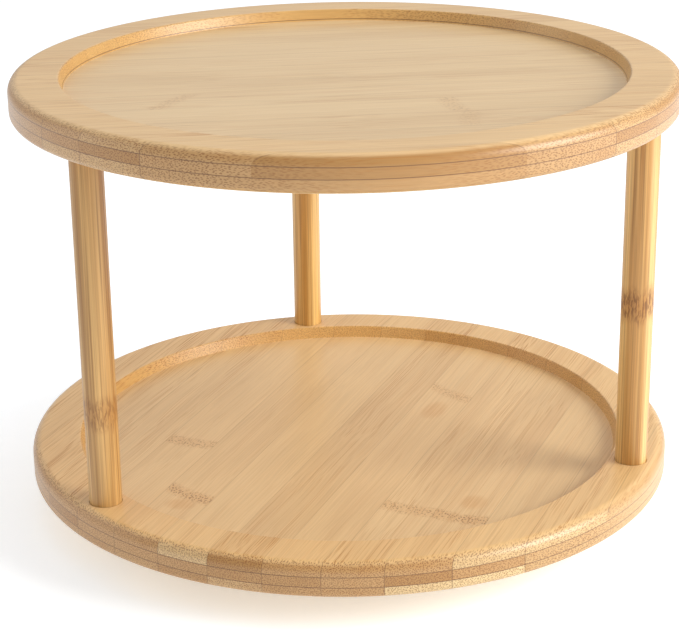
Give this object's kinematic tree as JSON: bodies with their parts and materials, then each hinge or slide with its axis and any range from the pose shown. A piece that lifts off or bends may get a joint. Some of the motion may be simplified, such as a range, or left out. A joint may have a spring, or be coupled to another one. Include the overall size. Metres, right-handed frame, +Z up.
{
  "type": "lazy susan turntable",
  "caption": "Tiered round bamboo lazy susan: shallow dished trays held apart by round posts, turning together on a ball bearing over a small footed base.",
  "frame": {"origin": "on the table, under the middle of the base, where the feet's underside plane meets the turning axis", "axes": "+Z up along the turning axis; the trays lie parallel to XY; the first post stands 21 degrees clockwise of +X"},
  "size_m": [0.25, 0.25, 0.1712],
  "materials": {
    "tray_bamboo": "satin lacquer, laminated strips",
    "post_bamboo": "satin lacquer, long grain",
    "base_bamboo": "satin lacquer",
    "foot_rubber": "matt",
    "bearing_steel": "zinc plated pressed sheet",
    "screw_steel": "zinc plated",
    "ball_steel": "polished",
    "insert_brass": "machined",
    "retainer_plastic": "moulded"
  },
  "bodies": {
    "base": {"base_disc": "base_bamboo", "foot_1": "foot_rubber", "foot_2": "foot_rubber", "foot_3": "foot_rubber", "foot_4": "foot_rubber", "bearing_lower_plate": "bearing_steel", "bearing_eyelet": "bearing_steel", "base_screw_1": "screw_steel", "base_screw_2": "screw_steel", "base_screw_3": "screw_steel", "base_screw_4": "screw_steel"},
    "ball_ring": {"ball_retainer": "retainer_plastic", "bearing_ball_01": "ball_steel", "bearing_ball_02": "ball_steel", "bearing_ball_03": "ball_steel", "bearing_ball_04": "ball_steel", "bearing_ball_05": "ball_steel", "bearing_ball_06": "ball_steel", "bearing_ball_07": "ball_steel", "bearing_ball_08": "ball_steel", "bearing_ball_09": "ball_steel", "bearing_ball_10": "ball_steel", "bearing_ball_11": "ball_steel", "bearing_ball_12": "ball_steel", "bearing_ball_13": "ball_steel", "bearing_ball_14": "ball_steel", "bearing_ball_15": "ball_steel", "bearing_ball_16": "ball_steel"},
    "turntable": {"bearing_upper_plate": "bearing_steel", "tray_screw_1": "screw_steel", "tray_screw_2": "screw_steel", "tray_screw_3": "screw_steel", "tray_screw_4": "screw_steel", "lower_tray": "tray_bamboo", "post_1": "post_bamboo", "lower_post_screw_1": "screw_steel", "upper_post_stud_1": "screw_steel", "tray_insert_1": "insert_brass", "post_2": "post_bamboo", "lower_post_screw_2": "screw_steel", "upper_post_stud_2": "screw_steel", "tray_insert_2": "insert_brass", "post_3": "post_bamboo", "lower_post_screw_3": "screw_steel", "upper_post_stud_3": "screw_steel", "tray_insert_3": "insert_brass", "upper_tray": "tray_bamboo"}
  },
  "joints": [
    {"name": "turntable_spin", "type": "hinge", "parent": "base", "child": "turntable", "pos_m": [0, 0, 0.01125], "axis": [0, 0, 1], "continuous": true},
    {"name": "ball_ring_spin", "type": "hinge", "parent": "base", "child": "ball_ring", "pos_m": [0, 0, 0.01125], "axis": [0, 0, 1], "continuous": true}
  ],
  "couplings": [
    {"joint": "ball_ring_spin", "follows": "turntable_spin", "ratio": 0.5}
  ]
}
